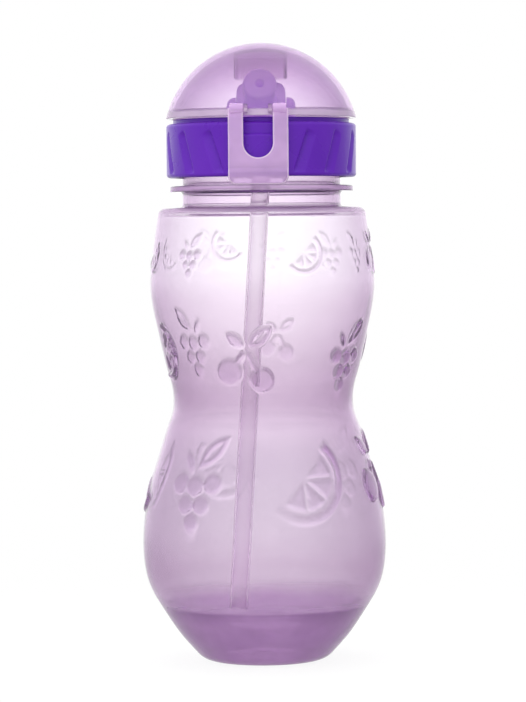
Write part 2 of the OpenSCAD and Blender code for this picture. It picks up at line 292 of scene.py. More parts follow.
def turned(u, v, x, y, angle):
    """The point (u, v) as seen from (x, y), along and across the angle."""
    a = math.radians(angle)
    return (u - x) * math.cos(a) + (v - y) * math.sin(a), (v - y) * math.cos(a) - (u - x) * math.sin(a)


def leaf(u, v, x, y, half, wide, angle, height, rib=0.0):
    """A leaf about (x, y), with a hollow of the depth rib down its middle."""
    p, q = turned(u, v, x, y, angle)
    h = pillow(wide * (1 - (p / half) ** 2) - np.abs(q), EDGE, height)
    if rib:
        inner = pillow(0.42 * wide * (1 - (p / (0.62 * half)) ** 2) - np.abs(q), 0.3, rib)
        h = h - inner * (h > 0.3 * height)
    return h


def grapes(u, v, size, height, lean=1):
    """A bunch of six berries under two leaves. size is the spacing of the berries; lean is -1 for the mirror image."""
    u = u * lean
    s = size
    h = np.zeros_like(u)
    for x, y, k in ((-1, 0.58, 1), (0, 0.46, 1), (1, 0.58, 1), (-0.48, -0.46, 0.92), (0.48, -0.46, 0.92),
                    (-0.05, -1.32, 0.88)):
        d = np.hypot(u - x * s, v - y * s)
        h = np.maximum(h, pillow(0.49 * s * k - d, EDGE, height))
    h = np.maximum(h, leaf(u, v, -0.58 * s, 1.62 * s, 0.6 * s, 0.2 * s, 118, height * 0.9))
    return np.maximum(h, leaf(u, v, 0.76 * s, 2.12 * s, 1.06 * s, 0.42 * s, 47, height, 0.5 * height))


def citrus(u, v, r, angle, height, swell=0.0):
    """Half a slice of orange. angle is the way that the middle of its peel faces. swell raises its peel towards one
    end, and lowers it towards the other."""
    p, q = turned(u, v, 0, 0, angle)
    rho, phi = np.hypot(p, q), np.degrees(np.arctan2(q, p))
    peel = np.minimum(np.minimum(rho - 0.80 * r, r - rho), (p + 0.06 * r))
    h = pillow(peel, EDGE, height) * (1 + swell * np.clip(phi / 90, -1, 1))
    step = 180 / WEDGES
    k = np.clip(np.floor((phi + 90) / step), 0, WEDGES - 1)
    off = np.abs(phi + 90 - (k + 0.5) * step)
    side = rho * np.sin(np.radians(np.clip(step / 2 - off, -30, 30))) - 0.035 * r
    pulp = np.minimum(np.minimum(0.68 * r - rho, side), p - 0.02 * r)
    return np.maximum(h, pillow(pulp, EDGE, height * 0.7))


def cherries(u, v, k, height, lean=1):
    """Two cherries on crossing stems with two leaves, about the point where the stems cross. k scales it."""
    u = u * lean / k
    v = v / k
    h = np.zeros_like(u)
    for x, y, r in ((-5.3, -6.3, 3.75), (4.0, -8.7, 3.6)):
        h = np.maximum(h, pillow(r - np.hypot(u - x, v - y), EDGE / k, height))
        n = math.hypot(x, y)
        p, q = turned(u, v, 0, 0, math.degrees(math.atan2(y, x)))
        past_ends = np.clip(np.abs(p - n / 2) - n / 2 + 1.2, 0, None)
        h = np.maximum(h, pillow(0.75 + 0.03 * p - np.abs(q) - 3 * past_ends, 0.7, height * 0.85))
    h = np.maximum(h, leaf(u, v, -3.3, 3.0, 3.2, 1.7, 142, height))
    return np.maximum(h, leaf(u, v, 4.1, 3.9, 4.5, 2.1, 40, height, 0.7 * height))


# kind, degrees from the front towards +X, height of its middle, and what its function takes after u and v
FRUIT = [
    (grapes, -38.0, 120.3, (2.75, 0.66)), (citrus, -15.6, 125.1, (5.4, -130, 0.5)),
    (citrus, 23.0, 122.3, (6.2, -45, 0.6)), (grapes, 39.5, 120.6, (2.75, 0.28, -1)),
    (citrus, -77.0, 122.5, (5.8, -60, 0.3)), (cherries, 82.0, 124.5, (0.72, 0.34)),
    (grapes, 118.0, 120.5, (2.75, 0.25)), (citrus, 145.0, 123.0, (5.8, -120, 0.17)),
    (grapes, 176.0, 120.5, (2.75, 0.15, -1)), (cherries, -150.0, 124.5, (0.7, 0.15)),
    (citrus, -116.0, 122.5, (5.8, -45, 0.25)),

    (cherries, -7.4, 94.1, (1.0, 0.66)), (grapes, 56.0, 89.3, (4.5, 0.95)),
    (citrus, -72.0, 93.3, (8.3, -12, 0.9)), (cherries, 172.6, 96.9, (0.66, 0.5, -1)),
    (grapes, -132.0, 92.2, (4.5, 0.5)), (citrus, 112.0, 94.0, (8.0, -130, 0.8)),

    (grapes, -34.6, 51.8, (5.9, 0.62)), (citrus, 21.5, 56.4, (13.2, -42, 0.6, 0.85)),
    (cherries, 81.0, 61.0, (1.25, 0.8)), (citrus, -92.0, 57.0, (12.5, -130, 0.8)),
    (grapes, 135.0, 52.5, (5.9, 0.12, -1)), (citrus, -157.0, 57.5, (12.0, -60, 0.2)),
]


def relief(columns, z, radius):
    """How far the fruit stands out at each of the columns round the body (sideways) and each height (down), as the
    mean of four nearby points."""
    step = 360 / columns
    theta = (np.arange(2 * columns) - 0.5) * step / 2
    z, radius = (np.repeat(np.array(a, float), 2) for a in (z, radius))
    z[::2] -= ROW / 4
    z[1::2] += ROW / 4
    out = np.zeros((len(z), len(theta)))
    th, zz = np.meshgrid(theta, z)
    rr = np.repeat(radius[:, None], len(theta), 1)
    for kind, turn, mid, sizes in FRUIT:
        u = ((th - turn + 180) % 360 - 180) * math.pi / 180 * rr
        near = (np.abs(u) < REACH_U) & (np.abs(zz - mid) < REACH_V)
        if near.any():
            got = np.zeros_like(out)
            got[near] = kind(u[near], (zz - mid)[near], *sizes)
            out = np.maximum(out, got)
    from_seam = (((th - SEAM_TURN) % 180 + 90) % 180 - 90) * math.pi / 180 * rr
    out = np.maximum(out, SEAM_HEIGHT * np.exp(-(from_seam / SEAM_WIDTH) ** 2))
    return (out[::2, ::2] + out[1::2, ::2] + out[::2, 1::2] + out[1::2, 1::2]) / 4


# ---------------------------------------------------------------- materials

CLOUD = (0.3, 0.7)      # nearly all of a noise's values lie between these
CLOUD_SCALE, HAZE_SCALE = 60.0, 102.0
RIPPLE_SCALE, RIPPLE_DEPTH = 140.0, 0.0006
GRAIN_SCALE, GRAIN_STRENGTH, GRAIN_DEPTH = 400.0, 0.1, 0.0004
THICK_TINT = (0.48, 0.28, 0.54, 1.0)    # how much a millimetre more of plastic deepens the colour


def lin(r, g, b):
    """Linear colour from screen values of 0 to 255."""
    return tuple(((c / 255 + 0.055) / 1.055) ** 2.4 if c > 10 else c / 255 / 12.92 for c in (r, g, b)) + (1.0,)


class Nodes:
    """Short ways to add and join shader nodes."""

    def __init__(self, tree):
        self.tree = tree
        tree.nodes.clear()

    def add(self, kind, at=None, **sets):
        """A node with its own settings, and with each named or numbered input linked or set."""
        n = self.tree.nodes.new(kind)
        for k, v in sets.items():
            setattr(n, k, v)
        for k, v in (at or {}).items():
            s = n.inputs[k]
            if hasattr(v, "is_output"):
                self.tree.links.new(v, s)
            else:
                s.default_value = v
        return n

    def coords(self):
        return self.add("ShaderNodeTexCoord").outputs["Object"]

    def noise(self, coords, scale, detail):
        return self.add("ShaderNodeTexNoise", {"Vector": coords, "Scale": scale, "Detail": detail}).outputs["Fac"]

    def spread(self, noise, lo, hi):
        """Turns a noise into values from lo to hi."""
        return self.add("ShaderNodeMapRange", {"Value": noise, "From Min": CLOUD[0], "From Max": CLOUD[1],
                                              "To Min": lo, "To Max": hi}).outputs["Result"]

    def ease(self, value, a, b, lo=0.0, hi=1.0):
        """Runs smoothly from lo to hi as the value runs from a to b."""
        return self.add("ShaderNodeMapRange", {"Value": value, "From Min": a, "From Max": b, "To Min": lo,
                                              "To Max": hi}, interpolation_type="SMOOTHSTEP").outputs["Result"]

    def ramp(self, value, stops):
        n = self.add("ShaderNodeValToRGB", {"Fac": value})
        e = n.color_ramp.elements
        while len(e) < len(stops):
            e.new(0.5)
        for q, (pos, col) in zip(e, stops):
            q.position, q.color = pos, col
        return n.outputs["Color"]

    def bump(self, height, strength, distance):
        return self.add("ShaderNodeBump", {"Height": height, "Strength": strength,
                                          "Distance": distance}).outputs["Normal"]

    def calc(self, operation, a, b):
        return self.add("ShaderNodeMath", {0: a, 1: b}, operation=operation).outputs[0]

    def tinted(self, share, a, b, blend_type="MIX"):
        """Colour a blended with colour b."""
        return self.add("ShaderNodeMix", {0: share, 6: a, 7: b}, data_type="RGBA", blend_type=blend_type).outputs[2]

    def shader(self, kind, at):
        return self.add("ShaderNode" + kind, at).outputs[0]

    def finish(self, surface):
        return self.add("ShaderNodeOutputMaterial", {"Surface": surface})


def material(name):
    m = bpy.data.materials.new(name)
    m.use_nodes = True
    return m, Nodes(m.node_tree)


def see_through(name, stops, z_range, milk, milk_stops, edge, rough=(0.05, 0.12), absorb=None, ior=1.46, wave=0.15,
                skin=False, lit_through=0.55, drift=0.0002, inner=None):
    """Clear tinted plastic with a share of milkiness. Colours and milkiness (height, share) run up the object between
    the two heights, and edge is the tint where the wall is seen along its length. With skin, only the outer face,
    marked by the mesh's own skin value, is milky and darkens at the edge, and it is deeper in colour where the
    mesh's raised value says that it is thicker. lit_through is the share of the milkiness that is lit from behind.
    absorb is the density and colour of the plastic's inside. inner is the colour and strength of a glow added to the
    surface, painted light that brightens a piece shaded by the parts round it. Heights wander by drift, in metres."""
    m, n = material(name)
    pos = n.coords()
    z = n.add("ShaderNodeSeparateXYZ", {"Vector": pos}).outputs["Z"]
    cloud = n.noise(pos, CLOUD_SCALE, 2.0)
    up = n.add("ShaderNodeMapRange", {"Value": n.calc("ADD", z, n.spread(cloud, -drift, drift)),
                                      "From Min": z_range[0] * MM, "From Max": z_range[1] * MM}).outputs["Result"]
    ripple = n.bump(n.noise(pos, RIPPLE_SCALE, 3.0), wave, RIPPLE_DEPTH)
    away = n.add("ShaderNodeLayerWeight", {"Blend": 0.5}).outputs["Facing"]
    share = n.calc("MULTIPLY", n.spread(n.noise(pos, HAZE_SCALE, 2.0), 0.9, 1.1),
                   n.ramp(up, [(q, (v, v, v, 1)) for q, v in milk]))
    if skin:
        mark = n.add("ShaderNodeAttribute", attribute_name="skin").outputs["Fac"]
        share, away = n.calc("MULTIPLY", share, mark), n.calc("MULTIPLY", away, mark)
    tint = n.tinted(away, n.ramp(up, stops), (*edge, 1))
    if skin:
        thick = n.add("ShaderNodeAttribute", attribute_name="raised").outputs["Fac"]
        tint = n.tinted(thick, tint, THICK_TINT, "MULTIPLY")
    clear = n.shader("BsdfPrincipled", {"Base Color": tint, "Roughness": n.spread(cloud, *rough), "IOR": ior,
                                        "Transmission Weight": 1.0, "Normal": ripple})
    half_edge = tuple((1 + c) / 2 for c in edge) + (1.0,)
    cloudy = n.tinted(away, n.ramp(up, milk_stops), half_edge, "MULTIPLY")
    milky = n.shader("MixShader", {"Fac": lit_through,
                                   1: n.shader("BsdfDiffuse", {"Color": cloudy, "Normal": ripple}),
                                   2: n.shader("BsdfTranslucent", {"Color": cloudy, "Normal": ripple})})
    front = n.calc("SUBTRACT", 1.0, n.add("ShaderNodeNewGeometry").outputs["Backfacing"])
    gleam = n.calc("MULTIPLY", n.add("ShaderNodeFresnel", {"IOR": ior, "Normal": ripple}).outputs[0], front)
    gloss = n.shader("BsdfGlossy", {"Roughness": rough[1], "Normal": ripple})
    milky = n.shader("MixShader", {"Fac": gleam, 1: milky, 2: gloss})
    surface = n.shader("MixShader", {"Fac": share, 1: clear, 2: milky})
    # inner adds an emitted glow: painted light, as the piece is no lamp.
    if inner:
        surface = n.shader("AddShader", {0: surface, 1: n.shader("Emission", {"Color": inner[0],
                                                                             "Strength": inner[1]})})
    out = n.finish(surface)
    if absorb:
        volume = n.shader("VolumeAbsorption", {"Color": absorb[1], "Density": absorb[0]})
        n.tree.links.new(volume, out.inputs["Volume"])
    return m


def solid(name, a, b, rough=(0.22, 0.34), metallic=0.0, shine=0.5, subsurface=0.0, grain=90.0):
    """Opaque plastic, silicone or steel whose colour wanders between a and b."""
    m, n = material(name)
    pos = n.coords()
    cloud = n.noise(pos, grain, 3.0)
    at = {"Base Color": n.ramp(cloud, list(zip(CLOUD, (a, b)))), "Roughness": n.spread(cloud, *rough),
          "Metallic": metallic, "Specular IOR Level": shine,
          "Normal": n.bump(n.noise(pos, GRAIN_SCALE, 2.0), GRAIN_STRENGTH, GRAIN_DEPTH)}
    if subsurface:
        at.update({"Subsurface Weight": subsurface, "Subsurface Radius": (1.0, 0.7, 1.0), "Subsurface Scale": 0.002})
    n.finish(n.shader("BsdfPrincipled", at))
    return m


# The body's tint runs nearly white over the upper bulge and darker at the waist and towards the foot, and its milky
# colour lightens towards the top: painted light and shade of the light falling from behind and above. The bands of
# extra milk at the shoulder and at the neck ring are painted light on these folds.
mat_body = see_through(
    "Body_Plastic",
    [(0.0, (0.97, 0.93, 0.98, 1)), (0.11, (0.95, 0.90, 0.96, 1)), (0.125, (0.92, 0.86, 0.92, 1)),
     (0.14, (0.93, 0.88, 0.93, 1)), (0.165, (0.875, 0.80, 0.87, 1)), (0.24, (0.915, 0.87, 0.915, 1)),
     (0.32, (0.88, 0.84, 0.885, 1)), (0.40, (0.865, 0.82, 0.87, 1)), (0.46, (0.91, 0.85, 0.91, 1)),
     (0.52, (0.82, 0.73, 0.82, 1)), (0.60, (0.875, 0.81, 0.87, 1)), (0.66, (0.93, 0.88, 0.925, 1)),
     (0.72, (0.965, 0.925, 0.96, 1)), (0.78, (0.995, 0.985, 0.995, 1)), (0.89, (1, 1, 1, 1)),
     (0.91, (0.99, 0.95, 0.99, 1)), (1.0, (0.98, 0.93, 0.98, 1))],
    (0, 150),
    [(0.0, 0.80), (0.085, 0.80), (0.105, 0.62), (0.12, 0.38), (0.137, 0.15), (0.17, 0.17), (0.60, 0.16), (0.80, 0.08),
     (0.8925, 0.08), (0.898, 0.55), (0.905, 0.5), (0.912, 0.08), (0.93, 0.12), (0.936, 0.36), (0.949, 0.36),
     (0.954, 0.10), (1.0, 0.10)],
    [(0.0, lin(234, 190, 242)), (0.10, lin(234, 190, 242)), (0.15, lin(228, 196, 234)), (0.3, lin(226, 200, 230)),
     (0.6, lin(240, 222, 242)), (0.8, lin(255, 252, 255)), (0.885, lin(250, 240, 250)), (0.90, lin(240, 208, 246)),
     (0.92, lin(234, 208, 240)), (1.0, lin(238, 214, 244))],
    (0.22, 0.04, 0.26), rough=(0.012, 0.03), absorb=(150.0, (0.80, 0.63, 0.85, 1)), skin=True, wave=0.05,
    drift=0.0005)
mat_dome = see_through(
    "Dome_Plastic",
    [(0.0, (1.0, 0.96, 1.0, 1)), (0.45, (0.98, 0.915, 0.99, 1)), (1.0, (0.95, 0.84, 0.965, 1))],
    (162, 186),
    [(0.0, 0.85), (0.085, 0.80), (0.105, 0.08), (0.4, 0.08), (1.0, 0.22)],
    [(0.0, lin(255, 240, 255)), (0.5, lin(244, 212, 246)), (1.0, lin(224, 182, 230))],
    (0.26, 0.06, 0.34), rough=(0.012, 0.03), absorb=(100.0, (0.70, 0.46, 0.80, 1)), wave=0.04)
mat_latch = see_through(
    "Latch_Plastic",
    [(0.0, (0.945, 0.875, 0.975, 1)), (1.0, (0.945, 0.875, 0.985, 1))],
    (142, 166),
    [(0.0, 0.42), (0.18, 0.42), (0.3, 0.52), (1.0, 0.52)],
    [(0.0, lin(226, 186, 238)), (0.14, lin(228, 188, 240)), (0.24, lin(244, 206, 252)), (1.0, lin(244, 206, 254))],
    (0.97, 0.87, 1.0), rough=(0.05, 0.1), wave=0.1, lit_through=0.2)
# The latch's rounded edges get a lighter, milkier plastic: a painted highlight along its bevels.
mat_latch_edge_highlight = see_through(
    "Latch_Edge_Highlight",
    [(0.0, (1, 0.97, 1, 1)), (1.0, (1, 0.97, 1, 1))],
    (142, 166),
    [(0.0, 0.62), (1.0, 0.62)],
    [(0.0, lin(255, 232, 255)), (1.0, lin(255, 232, 255))],
    (1.0, 0.95, 1.0), rough=(0.05, 0.1), wave=0.1, lit_through=0.2)
mat_straw = see_through(
    "Straw_Plastic",
    [(0.0, (0.99, 0.97, 0.99, 1)), (1.0, (1.0, 0.98, 1.0, 1))],
    (14, 159),
    [(0.0, 0.08), (0.64, 0.08), (0.76, 0.05), (0.84, 0.05), (0.87, 0.1), (1.0, 0.1)],
    [(0.0, lin(246, 228, 248)), (0.7, lin(250, 238, 250)), (1.0, lin(252, 240, 252))],
    (0.86, 0.74, 0.88), rough=(0.1, 0.16), absorb=(30.0, (0.92, 0.82, 0.93, 1)), ior=1.25, wave=0.1)
# The spout's faint violet glow, set by inner, is painted light that brightens it where the dome shades it.
mat_spout = see_through(
    "Spout_Plastic",
    [(0.0, (0.95, 0.85, 1, 1)), (1.0, (0.95, 0.85, 1, 1))],
    (158, 182),
    [(0.0, 0.8), (1.0, 0.8)],
    [(0.0, lin(248, 225, 253)), (1.0, lin(248, 225, 253))],
    (0.85, 0.66, 0.95), rough=(0.25, 0.35), absorb=(60.0, (0.88, 0.74, 0.96, 1)), lit_through=0.5,
    inner=(lin(184, 112, 250), 0.055))
mat_collar = solid("Collar_Plastic", lin(86, 23, 164), lin(94, 29, 172), rough=(0.24, 0.34), shine=0.25, grain=70.0)
mat_silicone = solid("Silicone", lin(228, 218, 232), lin(238, 230, 241), rough=(0.42, 0.55), subsurface=0.3)
mat_steel = solid("Pin_Steel", lin(176, 178, 182), lin(198, 200, 204), rough=(0.2, 0.32), metallic=1.0, grain=500.0)


# ---------------------------------------------------------------- bottle

# radius and height of the outside, from the foot's heel to the shoulder
SIDE = smooth_line([(20.5, 2.4), (25.7, 8.4), (30.9, 16.2), (34, 21.6), (35.7, 27), (36.4, 34.5), (35.9, 43),
                    (34.35, 52.2), (31.05, 63), (28.8, 70.2), (27.2, 74.6), (26.85, 78.6), (27.4, 83), (28.95, 88.4),
                    (31.35, 99), (32.75, 105.4), (33.6, 111.8), (33.35, 117.6), (32.55, 124.2), (31.2, 133.55)])
SIDE_LOW, SIDE_TOP = 2.4, 133.55
WALL, SHOULDER, BASE_EDGE = 1.2, 135.75, 17.2
NECK_R, MOUTH_R, MOUTH_Z, NECK_RING = 23.7, 22.1, 157, (140.5, 142.2)
SHOULDER_R, SHOULDER_ROUND = 29.0, 2.2
FOOT_R, HEEL_R = 15.23, 6.98
FRUIT_BANDS = ((41, 73), (79.5, 107), (113.5, 131.5))
FINE, COARSE = 520, 130     # points round the outside and the inside
RAISED_POWER = 1.6          # low fruit hardly deepens the colour
CLEARER = 0.3               # skin value of the hollow under the base
FOOT_RINGS = 6              # rings of base that belong to the foot's edge, outside that hollow


def heights():
    """Heights up the side, close together where there is fruit."""
    out, z = [], SIDE_LOW
    while z < SIDE_TOP - 0.25:
        out.append(z)
        fine = any(lo < z < hi for lo, hi in FRUIT_BANDS)
        z += ROW if fine else (0.8 if z < 12 else 2.0)
    return out + [SIDE_TOP]


zs = heights()
radii = [float(np.interp(z, SIDE[:, 1], SIDE[:, 0])) for z in zs]
base = softened([(0, 11.1), (2.4, 11.1, 0.6), (3.4, 10.2, 0.8), (9, 9.6, 1.5), (12.6, 7.0, 1.8), (13.8, 3.0, 1.4),
                 (14.3, 0.7, 0.4), (14.8, 0.0, 0.3), (FOOT_R, 0.0)])
heel = arc(FOOT_R, HEEL_R, HEEL_R, -80, -42, 8)
top = arc(SHOULDER_R, SIDE_TOP, SHOULDER_ROUND, 10, 90, 7) + softened(
    [(28.9, SHOULDER), (24.4, SHOULDER, 0.6), (NECK_R, 136.5, 0.5), (NECK_R, 140.0, 0.3), (24.2, NECK_RING[0], 0.2),
     (27.45, NECK_RING[0], 0.35), (27.45, NECK_RING[1], 0.45), (NECK_R, NECK_RING[1], 0.4), (NECK_R, 150),
     (NECK_R, MOUTH_Z, 0.5), (MOUTH_R, MOUTH_Z, 0.5), (MOUTH_R, 150)])[1:]
raised = relief(FINE, zs, radii)
raised *= (np.clip((np.array(zs) - 20) / 6, 0, 1) * np.clip((133.0 - np.array(zs)) / 2, 0, 1))[:, None]
rings = [ring(r, z, FINE) for r, z in base + heel]
rings += [ring(r, z, FINE, raised[i]) for i, (r, z) in enumerate(zip(radii, zs))]
rings += [ring(r, z, FINE) for r, z in top]
outer_rings = len(rings)
rings.append(ring(MOUTH_R, 148, FINE // 2))

tangent = np.gradient(SIDE, axis=0)
normal = np.stack([-tangent[:, 1], tangent[:, 0]], 1) / np.linalg.norm(tangent, axis=1)[:, None]
inside = SIDE + WALL * normal
down, z = [], 132.6
while z > BASE_EDGE + 1:
    down.append(z)
    z -= 1.6
down = np.array(down)
under_shoulder = [(MOUTH_R, 146), (MOUTH_R, 138)] + arc(22.7, 135.15, 0.6, 180, 270, 4)
under_shoulder += arc(SHOULDER_R, SIDE_TOP, SHOULDER_ROUND - WALL, 90, 10, 5)
bottom = softened([(30.4, 17.8), (30.0, BASE_EDGE - 0.2, 0.5), (28.4, 16.4, 0.5), (25, 15.1, 1), (19, 13.6, 2),
                   (10, 12.9, 2), (0, 12.8)])[1:]
rings += [ring(r, z, COARSE) for r, z in
          under_shoulder + list(zip(np.interp(down, inside[:, 1], inside[:, 0]), down)) + bottom]

verts, faces = grid_rows(rings)
bottle = joined(new_mesh("Bottle", verts, faces), helix("Neck_Thread", NECK_R, 1.25, 148.6, 1.5))


def count(some):
    return sum(len(r) for r in some)


skin = np.ones(len(bottle.data.vertices))
skin[count(rings[:outer_rings]):len(verts)] = 0
skin[:count(rings[:len(base) - FOOT_RINGS])] = CLEARER
thicker = np.zeros(len(skin))
first = count(rings[:len(base) + len(heel)])
thicker[first:first + raised.size] = (raised ** RAISED_POWER).ravel()
for name, values in (("skin", skin), ("raised", thicker)):
    bottle.data.attributes.new(name, "FLOAT", "POINT").data.foreach_set("value", values)
finish_piece(bottle, "bottle", "bottle_body", mat_body, angle=50)

# ---------------------------------------------------------------- straw

LEAN, PIVOT_Y, CROSS = 3.5, 3.0, 148.0      # degrees from upright, and where its axis is and crosses X = 0
STRAW_LOW, STRAW_HIGH, STRAW_R, STRAW_BORE = 14.2, 158.6, 2.8, 2.2
low, high = ((z - CROSS) / math.cos(math.radians(LEAN)) for z in (STRAW_LOW, STRAW_HIGH))
straw = lathe("Drinking_Straw", softened([(STRAW_R, low, 0.25), (STRAW_R, high, 0.25), (STRAW_BORE, high, 0.25),
                                          (STRAW_BORE, low, 0.25)], closed=True))
place(straw, moved(0, PIVOT_Y, CROSS) @ spun(LEAN, "Y"))
straw_body = next(b for b, ns in frame["record"]["behaviour"]["bodies"].items() if "drinking_straw" in ns)
finish_piece(straw, straw_body, "drinking_straw", mat_straw)

# ---------------------------------------------------------------- collar

COLLAR_R, COLLAR_LOW, COLLAR_TOP, COLLAR_BORE = 28.35, 144.7, 160.65, 25.4
ROUND_R = 27.35                             # radius where its edges' rounding starts
LIP_TOP, DECK_TOP, DECK_UNDER, DECK_HOLE = 162.0, 160.4, 158.4, 13
COLS = 720
FLUTES, FLUTE_FIRST, FLUTE_STEP = 7, 27.6, 21.6     # on each side, in degrees from the front
FLUTE_SLANT, FLUTE_HALF, FLUTE_MID, FLUTE_DEPTH = math.radians(20), 6.7, 151.8, 0.95
POCKET_HALF, POCKET_LOW, POCKET_DEPTH, POCKET_SOFT = 4.7, 156.8, 0.8, 0.25
HINGE_Y, HINGE_Z, HINGE_R = 31.3, 161.5, 2.3


def collar_cut(theta, z):
    """Depth of the grip flutes and of the pocket behind the latch's window."""
    th = (np.array(theta) + 180) % 360 - 180
    depth = np.zeros_like(th)
    for side in (-1, 1):
        for i in range(FLUTES):
            u = (th * side - (FLUTE_FIRST + FLUTE_STEP * i)) * math.pi / 180 * COLLAR_R
            v = z - FLUTE_MID
            along = u * math.sin(FLUTE_SLANT) + v * math.cos(FLUTE_SLANT)
            across = u * math.cos(FLUTE_SLANT) - v * math.sin(FLUTE_SLANT)
            fade = np.clip((1 - np.abs(along) / FLUTE_HALF) / 0.3, 0, 1)
            steep, gentle = (across + 1.2) / 0.5, (2.4 - across) / 3.1
            depth = np.maximum(depth, FLUTE_DEPTH * np.clip(np.minimum(steep, gentle), 0, 1) * fade * (2 - fade))
    x = COLLAR_R * np.sin(np.radians(th))
    pocket = (np.abs(th) < 90) * np.clip((POCKET_HALF - np.abs(x)) / POCKET_SOFT, 0, 1)
    pocket = pocket * np.clip((z - POCKET_LOW) / POCKET_SOFT, 0, 1)
    return -np.maximum(depth, POCKET_DEPTH * pocket)


theta = np.arange(COLS) * 360 / COLS
low_line = [(COLLAR_BORE, COLLAR_LOW), (ROUND_R, COLLAR_LOW)] + arc(ROUND_R, COLLAR_LOW + 1, 1, -80, 0, 6)
wall_z = [145.75 + 0.3 * i for i in range(44)] + [159.2]
top_line = arc(ROUND_R, COLLAR_TOP - 1, 1, 0, 90, 7) + softened(
    [(27.3, COLLAR_TOP), (26.3, COLLAR_TOP, 0.3), (26.3, LIP_TOP, 0.35), (24.9, LIP_TOP, 0.35),
     (24.9, DECK_TOP, 0.4), (DECK_HOLE, DECK_TOP, 0.2), (DECK_HOLE, DECK_UNDER, 0.2), (COLLAR_BORE, DECK_UNDER, 0.3),
     (COLLAR_BORE, COLLAR_LOW, 0.3)])[1:-1]
rings = [ring(r, z, COLS) for r, z in low_line]
rings += [ring(COLLAR_R, z, COLS, collar_cut(theta, z)) for z in wall_z]
rings += [ring(r, z, COLS, collar_cut(theta, z) if r > 27.0 and z < COLLAR_TOP + 0.1 else 0.0) for r, z in top_line]
rings.append(rings[0])
collar = new_mesh("Screw_Collar", *grid_rows(rings))
ears = []
for s in (-1, 1):
    a, b = sorted((4 * s, 7.5 * s))
    ears += [bar("ear", a, b, HINGE_Y, HINGE_Z, HINGE_R, 0.35),
             box("ear_root", (a, 25.6, 157.6), (b, HINGE_Y, 160.0), 0.3),
             box("ear_web", (a + 0.01, 26.5, 158.4), (b - 0.01, 31.6, 160.6), 0.3),
             bar("pin_bush", a, b, HINGE_Y, HINGE_Z, 1.35, 0.1)]
collar = joined(collar, helix("Cap_Thread", COLLAR_BORE, -1.25, 146.6, 1), *ears)
cleaned(collar, weld=1e-6, outwards=False)
finish_piece(collar, "lid", "cap_collar", mat_collar, angle=45)

# ---------------------------------------------------------------- dome

DOME_Z, DOME_R, DOME_IN, RIM = 155.7, 29.3, 27.8, 162.3     # the ball's middle, its two radii, the rim's height
MIDWALL = 28.6                                              # the pusher box is cut off within the dome's wall
LATCH_Y, LATCH_Z = -29.5, 164.4                             # the axis that the latch swings about

a_out = math.degrees(math.asin((RIM + 0.25 - DOME_Z) / DOME_R))
a_in = math.degrees(math.asin((164.5 - DOME_Z) / DOME_IN))
outer = [(26.8, RIM), (28.3, RIM)] + arc(0, DOME_Z, DOME_R, a_out, 89.9, 56) + [(0.0, DOME_Z + DOME_R)]
under = [(0.0, DOME_Z + DOME_IN)] + arc(0, DOME_Z, DOME_IN, 89.9, a_in, 50) + [(26.45, 163.6), (26.5, 162.5),
                                                                               (26.8, RIM)]
dome = lathe("Dome_Cover", outer[::-1] + under[::-1], 192, closed=False)
pusher = box("pusher", (-7.95, -1.2, 174.3), (7.95, 5.2, 190), 0.7, upright=True)
combine(pusher, box("hollow", (-7.15, -0.5, 170), (7.15, 4.5, 180.8), 0.5), "DIFFERENCE")
ball = lathe("ball", [(0.0, DOME_Z - MIDWALL)] + arc(0, DOME_Z, MIDWALL, -85, 85, 60) + [(0.0, DOME_Z + MIDWALL)],
             closed=False)
combine(pusher, ball, "INTERSECT")
combine(dome, pusher, "UNION")
knuckle = bar("knuckle", -3.7, 3.7, HINGE_Y, HINGE_Z, HINGE_R, 0.35)
combine(knuckle, box("web", (-3.7, 27.4, RIM), (3.7, HINGE_Y, 163.8), 0.25), "UNION")
combine(dome, knuckle, "UNION")
for s in (-1, 1):
    a, b = sorted((3 * s, 4.15 * s))
    ear = bar("front_ear", a, b, LATCH_Y, LATCH_Z, 1.3, 0.15)
    combine(ear, box("front_web", (a, LATCH_Y, 163.1), (b, -27.0, 165.7)), "UNION")
    combine(dome, ear, "UNION")
finish_piece(dome, "dome", "dome_cover", mat_dome, angle=35)

# ---------------------------------------------------------------- latch

LATCH_IN, LATCH_WALL, LATCH_LOW, LATCH_TOP = 28.9, 1.7, 142.2, 164.4
HALF, CORNER, WIN, WIN_LOW = 8.8, 2.6, 4.3, 150.05      # the clip's half width and corners, its window's
FLARE_TOP, FLARE_LENGTH, FLARE_OUT = 147.2, 1.6, 0.72   # the lower lip stands out below this height
ACROSS = np.arange(-8.5, 8.51, 0.5)                     # where the flat clip is cut, so that it bends smoothly
UP = list(np.arange(145.2, 147.8, 0.2)) + [144.0, 142.8, 150, 154, 158, 161]

